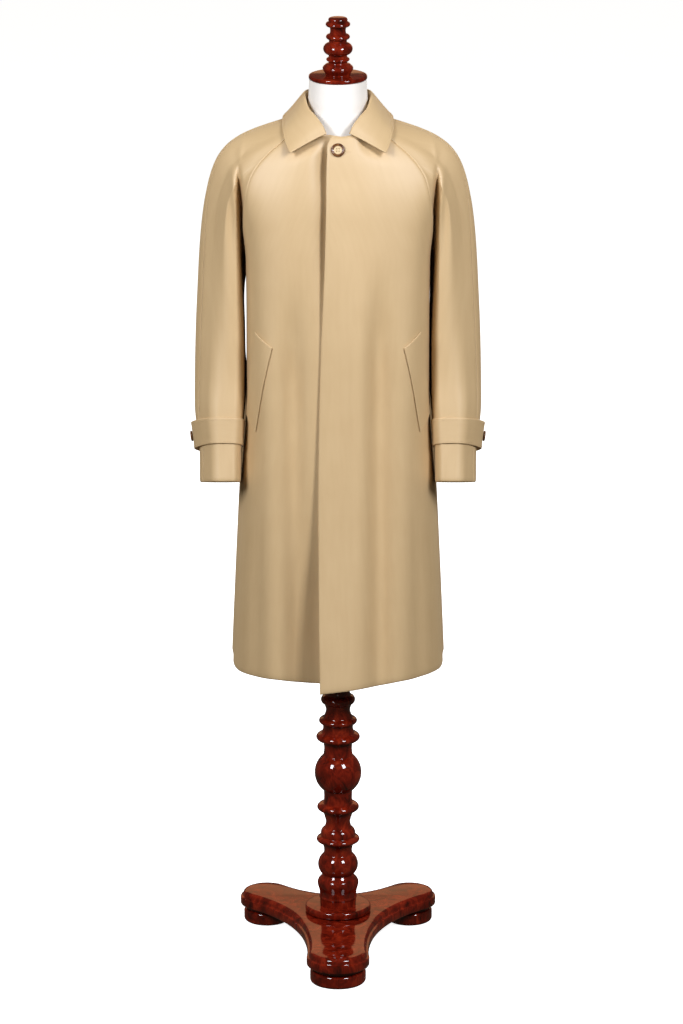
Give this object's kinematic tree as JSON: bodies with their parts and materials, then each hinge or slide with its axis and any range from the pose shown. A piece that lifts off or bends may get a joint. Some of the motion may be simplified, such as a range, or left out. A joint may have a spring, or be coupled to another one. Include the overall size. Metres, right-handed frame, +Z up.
{
  "type": "raglan coat on dress form stand",
  "caption": "Knee-length raglan coat with a turn-down collar, concealed front, slanted pocket welts and cuff straps, on a limbless dress form with a turned wooden tripod stand.",
  "frame": {"origin": "on the floor, under the middle of the object's box", "axes": "+Z up along the post, -Y out of the coat's front, +X to the wearer's left"},
  "size_m": [0.5352, 0.4452, 1.7835],
  "materials": {
    "gabardine": "beige cotton gabardine, matt with a slight sheen",
    "horn": "polished brown horn",
    "jersey": "white jersey stretched over the form",
    "mahogany": "red-brown stained wood, glossy lacquer"
  },
  "bodies": {
    "root": {"front_left": "gabardine", "front_right": "gabardine", "back": "gabardine", "sleeve_left_front": "gabardine", "sleeve_left_back": "gabardine", "sleeve_right_front": "gabardine", "sleeve_right_back": "gabardine", "collar_stand": "gabardine", "collar_fall": "gabardine", "pocket_welt_left": "gabardine", "pocket_welt_right": "gabardine", "cuff_strap_left": "gabardine", "cuff_strap_right": "gabardine", "button_neck": "horn", "button_cuff_left": "horn", "button_cuff_right": "horn", "form_torso": "jersey", "neck_cap": "mahogany", "finial": "mahogany", "post": "mahogany", "base_ring": "mahogany", "base_tripod": "mahogany", "foot_front": "mahogany", "foot_left": "mahogany", "foot_right": "mahogany"}
  },
  "joints": []
}
